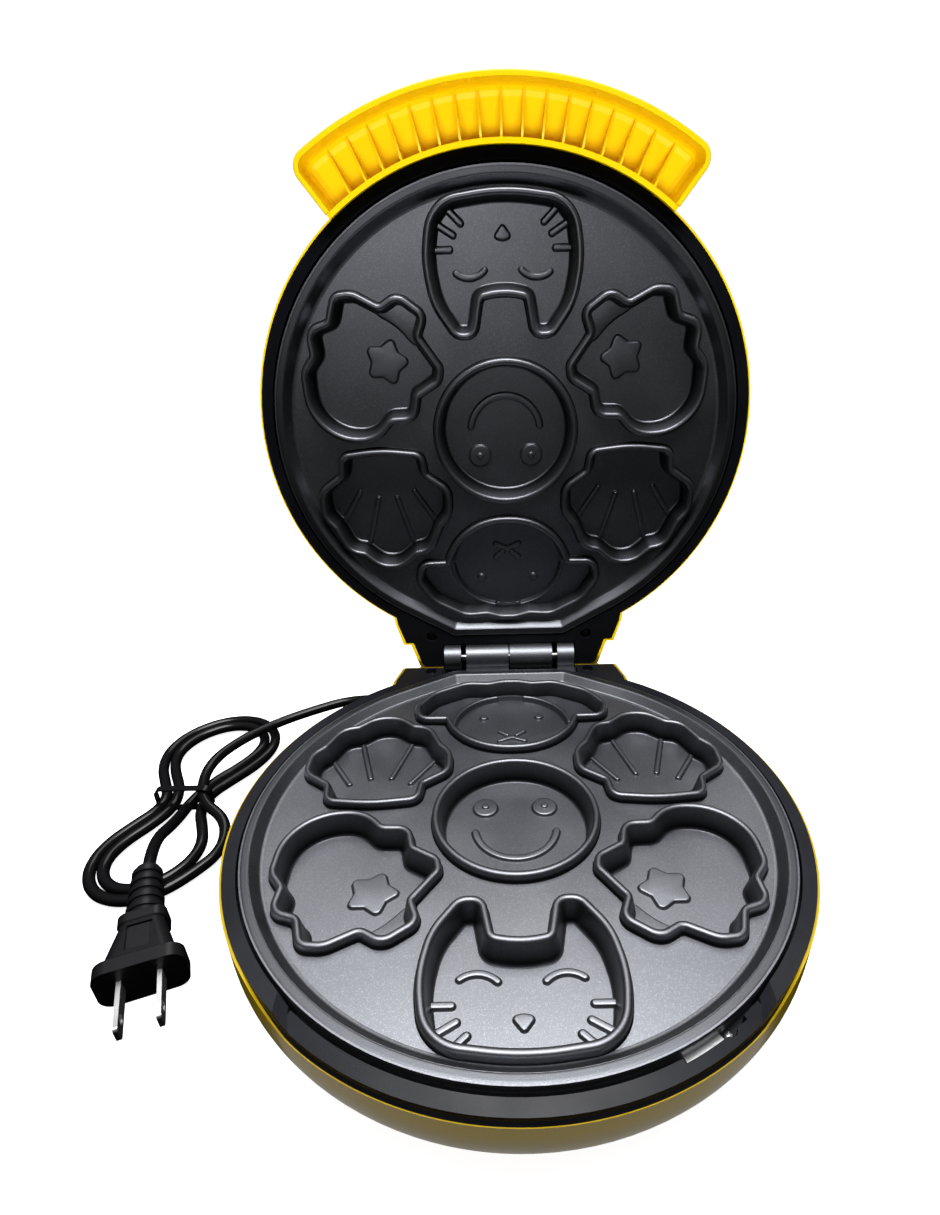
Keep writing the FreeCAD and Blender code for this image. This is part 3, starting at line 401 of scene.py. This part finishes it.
# Masks of painted light on the skins: crest paints the highlight tone on the beads' tops, wall paints shade
# down the bead and cavity walls, and half of it on the rim's top
top = np.clip(2.5 * z + 0.9, 0, 1)
crest = (band < len(figures)) * top
wall = (band < len(figures)) * np.clip(-z - 1.3, 0, 1) * np.clip(z + 9.3, 0, 1)
wall += (band == len(figures)) * RIM_SHADE * top
x, y, z = MM * x, MM * y, MM * (z - RIM_BELOW)
base_verts = np.stack([x, y, MEETING_Z + z], 1)
lid_verts = np.stack([-x, HINGE_Y - z, MEETING_Z + HINGE_Y - y], 1)
for body, verts in (("base", base_verts), ("lid", lid_verts)):
    mesh = bpy.data.meshes.new(body + "_plate_skin")
    mesh.from_pydata(verts, [], skin_faces)
    mesh.shade_smooth()
    mesh.attributes.new("crest", "FLOAT", "POINT").data.foreach_set("value", crest)
    mesh.attributes.new("wall", "FLOAT", "POINT").data.foreach_set("value", wall)
    mesh.materials.append(coating)
    skin = bpy.data.objects.new(body + "_plate_skin", mesh)
    bpy.context.scene.collection.objects.link(skin)
    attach(skin, body)

# Clips, screws and the hinge pin: steel. The plated clips are bent from sheet and screwed down to hold each
# plate to its bezel, the bezel screws are blackened, and the pin goes through the knuckles of both plates.
plated = grained("plated steel", (0.4, 0.4, 0.41), (0.6, 0.6, 0.61), (0.25, 0.4), metallic=1.0)
dress(plated, "base_plate_clips", "lid_plate_clips", "base_clip_screws", "lid_clip_screws")
dark_steel = grained("blackened steel", (0.02, 0.02, 0.022), (0.05, 0.05, 0.053), (0.3, 0.45), metallic=1.0)
dress(dark_steel, "base_bezel_screws", "lid_bezel_screws")
pin_steel = grained("pin steel", (0.25, 0.25, 0.26), (0.38, 0.38, 0.39), (0.25, 0.35), metallic=1.0)
dress(pin_steel, "hinge_pin")

# Signal lamps on the lid: small domed lenses of coloured plastic, red for power and green for ready,
# pushed out through its top from inside as far as their collars.
red_lens = grained("red lens", (0.5, 0.01, 0.005), (0.6, 0.02, 0.01), (0.1, 0.15), bump=0.0)
dress(red_lens, "lamp_power")
green_lens = grained("green lens", (0.01, 0.3, 0.03), (0.02, 0.4, 0.05), (0.1, 0.15), bump=0.0)
dress(green_lens, "lamp_ready")

# Mains cord: black round flex, out of the base through its strain relief, over its own hank and into the tie,
# two turns of the hank, then a tail to the plug. The route's own points are the spline's control points.
CORD_D = 0.0048
HANK_AT = (-0.1481, 0.0533, 0.0031)
HANK_WAIST = 0.0126
HANK_LOBE = 0.0269 / cos(radians(45))
HANK_ROUND = 0.00097
HANK_REACH = 0.0625
HANK_BLUNT = 0.13
HANK_LEAN = 0.097
FAR_LONGER, FAR_WIDER = 0.086, 0.123
HANK_PITCH = 0.00545
HANK_TURN = (radians(150), radians(810))
HANK_POINTS = 48
EASE_IN, EASE_OUT = 0.016, 0.014
PLUG_AT = (-0.127, -0.0406, 0.0092)
PLUG_AIM = (0.34, -0.94, -0.06)
PLUG_LONG = 0.048
PLUG_SINK = 0.0075


def loop_points(t):
    """A closed loop drawn in at its waist: x from the first, third and fifth sine of t, y from the first and
    third cosine, the far lobe larger than the near one, and the whole leaning a little to the right."""
    along = (1 - HANK_BLUNT) * np.cos(t) + HANK_BLUNT * np.cos(3 * t)
    y = HANK_REACH * along * (1 + FAR_LONGER * np.cos(t))
    first = (HANK_LOBE + HANK_WAIST + HANK_ROUND) / 2
    third = (HANK_LOBE - HANK_WAIST - HANK_ROUND) / 2
    wave = first * np.sin(t) + third * np.sin(3 * t) - HANK_ROUND * np.sin(5 * t)
    x = wave * (1 + FAR_WIDER * np.cos(t)) + HANK_LEAN * y
    return np.stack([HANK_AT[0] + x, HANK_AT[1] + y, np.full_like(t, HANK_AT[2])], 1)


def hank_points(t):
    """The loop moved inwards along its normal, one pitch for each turn."""
    way = loop_points(t + 1e-4) - loop_points(t - 1e-4)
    way /= np.linalg.norm(way, axis=1)[:, None]
    inset = HANK_PITCH * (t - radians(90)) / radians(360)
    return loop_points(t) + np.stack([way[:, 1], -way[:, 0], 0 * t], 1) * inset[:, None]


def way_at(t):
    """Direction of the hank at t."""
    step = hank_points(np.array([t - 1e-3, t + 1e-3]))
    return (step[1] - step[0]) / np.linalg.norm(step[1] - step[0])


plug_way = np.array(PLUG_AIM) / np.linalg.norm(PLUG_AIM)
plug_back = np.array(PLUG_AT) - PLUG_LONG * plug_way
turns = hank_points(np.linspace(*HANK_TURN, HANK_POINTS))
lead = np.array([
    (-0.041, 0.1085, 0.016), (-0.0745, 0.1263, 0.0112), (-0.111, 0.1125, 0.0086), (-0.1335, 0.0922, 0.0094),
    (-0.1449, 0.0724, 0.0086), (-0.1393, 0.0482, 0.00825), (-0.1255, 0.04, 0.0049),
    turns[0] - EASE_IN * way_at(HANK_TURN[0])])
tail = np.array([
    turns[-1] + EASE_OUT * way_at(HANK_TURN[1]), plug_back - EASE_OUT * plug_way,
    plug_back + PLUG_SINK * plug_way])
route = np.concatenate([lead, turns, tail])
flex = bpy.data.curves.new("mains_cord", "CURVE")
flex.dimensions = "3D"
flex.bevel_depth = CORD_D / 2
flex.bevel_resolution = 6
flex.resolution_u = 8
flex.use_fill_caps = True
spline = flex.splines.new("NURBS")
spline.points.add(len(route) - 1)
spline.points.foreach_set("co", np.c_[route, np.ones(len(route))].ravel())
spline.order_u = 3
spline.use_endpoint_u = True
cord = bpy.data.objects.new("mains_cord", flex)
bpy.context.scene.collection.objects.link(cord)
cord_black = grained(
    "cord sheath", (0.0015, 0.0015, 0.002), (0.004, 0.004, 0.0045), (0.13, 0.19), bump=0.03, fine=1500.0,
    Specular_IOR_Level=0.24)
flex.materials.append(cord_black)
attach(cord, "base")
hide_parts("cord_lead", "cord_hank", "cord_tail")
dress(cord_black, "cord_strain_relief", "cord_tie")

# Plug: a black moulding with a sunk panel, and a ribbed boot over the end of the cord.
# Its two blades are nickel-plated brass, set into slots in its face.
plug_black = grained(
    "plug moulding", (0.003, 0.003, 0.004), (0.007, 0.007, 0.008), (0.3, 0.4), bump=0.05,
    Specular_IOR_Level=0.22)
dress(plug_black, "plug_body")
blade_metal = grained("blade plating", (0.6, 0.6, 0.6), (0.7, 0.7, 0.69), (0.3, 0.42), metallic=1.0)
dress(blade_metal, "plug_blades")

# Studio: a pale floor, a window behind and a soft light above, under a dim sky. Weaker lights are kept to
# the pieces that need them: the lid's plate, the housings, the handle, and the base, which sees the table.
FLOOR_HALF = 3.0
FLOOR_Z = -0.0002
SEEN_SKY = 1.05
SKY = ((0.44, 0.0), (0.5, 0.03), (0.6, 0.05), (0.75, 0.12), (0.99, 0.4))
floor_mesh = bpy.data.meshes.new("floor")
floor_corners = [(FLOOR_HALF * u, FLOOR_HALF * v, FLOOR_Z) for u, v in ((-1, -1), (1, -1), (1, 1), (-1, 1))]
floor_mesh.from_pydata(floor_corners, [], [(0, 1, 2, 3)])
floor = bpy.data.objects.new("floor", floor_mesh)
bpy.context.scene.collection.objects.link(floor)
pale = grained(
    "pale floor", (0.88, 0.88, 0.88), (0.9, 0.9, 0.9), (0.6, 0.7), bump=0.0, Emission_Color=(1, 1, 1, 1),
    Emission_Strength=0.9)
floor_mesh.materials.append(pale)
floor.visible_diffuse = False
floor.visible_glossy = False
world = bpy.data.worlds.new("studio")
bpy.context.scene.world = world
world.use_nodes = True
sky = world.node_tree
ways = add(sky, "ShaderNodeTexCoord")
rise = add(sky, "ShaderNodeSeparateXYZ", {0: ways.outputs["Generated"]})
part = add(sky, "ShaderNodeMapRange", {0: rise.outputs["Z"], 1: -1.0})
light = add(sky, "ShaderNodeValToRGB", {0: part.outputs[0]})
stops = light.color_ramp.elements
for at, tone in SKY:
    stops.new(at).color = (tone, tone, tone, 1)
stops.remove(stops[-1])
stops.remove(stops[0])
path = add(sky, "ShaderNodeLightPath")
seen = add(sky, "ShaderNodeMix", {0: path.outputs["Is Camera Ray"], 2: light.outputs[0], 3: SEEN_SKY})
sky.links.new(seen.outputs[0], sky.nodes["Background"].inputs["Strength"])
sky.nodes["Background"].inputs["Color"].default_value = (1, 1, 1, 1)


def soft_light(name, place, aim, size, power, things=(), state="INCLUDE"):
    """A square area light at place, facing aim; it may be kept to some things, or kept off them."""
    lamp = bpy.data.lights.new(name, "AREA")
    lamp.size = size
    lamp.energy = power
    holder = bpy.data.objects.new(name, lamp)
    bpy.context.scene.collection.objects.link(holder)
    turn = (Vector(aim) - Vector(place)).to_track_quat("-Z", "Y").to_matrix().to_4x4()
    holder.matrix_world = Matrix.Translation(place) @ turn
    if things:
        holder.light_linking.receiver_collection = bpy.data.collections.new(name)
    for thing in things:
        holder.light_linking.receiver_collection.objects.link(thing)
        holder.light_linking.receiver_collection.collection_objects[-1].light_linking.link_state = state
    return holder


housings = [nodes["base_housing"], nodes["lid_housing"]]
soft_light("back window", (0.0, 0.5, 0.9), (0.0, -0.02, 0.05), 0.7, 4.9)
soft_light("top light", (0.0, -0.03, 0.8), (0.0, -0.01, 0.0), 0.5, 10.5, housings, "EXCLUDE")
lid_cast = [nodes["lid_plate"], skin]
lid_card = soft_light("lid card", (-0.1, -0.8, 0.37), (0.0, 0.1, 0.27), 0.8, 0.07, lid_cast)
lid_card.data.shape = "RECTANGLE"
lid_card.data.size_y = 0.2
lid_card.data.spread = radians(14)
soft_light("housing light", (0.0, -0.1, 0.8), (0.0, 0.0, 0.0), 0.5, 3.0, housings)
handle_light = soft_light(
    "handle light", (0.0, -0.4, 0.03), (0.0, 0.1, 0.27), 0.3, 5.5, [nodes["lid_housing"]])
handle_light.visible_glossy = False
table_glow = soft_light(
    "table glow", (0.0, -0.42, 0.002), (0.0, -0.42, 1.0), 0.7, 0.8, [nodes["base_housing"]])
table_glow.visible_camera = False
table_glow.visible_diffuse = False

# Camera: where the photograph was taken from, solved from the round rims of the plates.
# Its place is in plate radii from the middle of the base's rim; its lens is in pixels of the photograph.
ELEVATION, AZIMUTH, ROLL = radians(28.956), radians(0.146), radians(-1.320)
CAMERA_BACK, CAMERA_ACROSS, CAMERA_UP = 2.6824, -0.0668, 0.665
PHOTO_TALL = 1215
FOCAL = 712.29
OFF_CENTRE = (-27.93, 25.95)
SENSOR = 36.0
back = Vector((sin(AZIMUTH) * cos(ELEVATION), -cos(AZIMUTH) * cos(ELEVATION), sin(ELEVATION)))
right = Vector((cos(AZIMUTH), sin(AZIMUTH), 0))
up = back.cross(right)
across = right * cos(ROLL) + up * sin(ROLL)
upward = up * cos(ROLL) - right * sin(ROLL)
rim_centre = Vector((0, 0, MEETING_Z - RIM_BELOW * MM))
camera_from_rim = back * CAMERA_BACK + across * CAMERA_ACROSS + upward * CAMERA_UP
camera_at = rim_centre + camera_from_rim * (PLATE_R * MM)
lens = bpy.data.cameras.new("camera")
lens.sensor_width = SENSOR
lens.lens = FOCAL / PHOTO_TALL * SENSOR
lens.shift_x = OFF_CENTRE[0] / PHOTO_TALL
lens.shift_y = OFF_CENTRE[1] / PHOTO_TALL
lens.clip_start = 0.01
camera = bpy.data.objects.new("camera", lens)
bpy.context.scene.collection.objects.link(camera)
turned = Matrix((across, upward, back)).transposed().to_4x4()
camera.matrix_world = Matrix.Translation(camera_at) @ turned
bpy.context.scene.camera = camera
bpy.context.scene.view_settings.view_transform = "Standard"
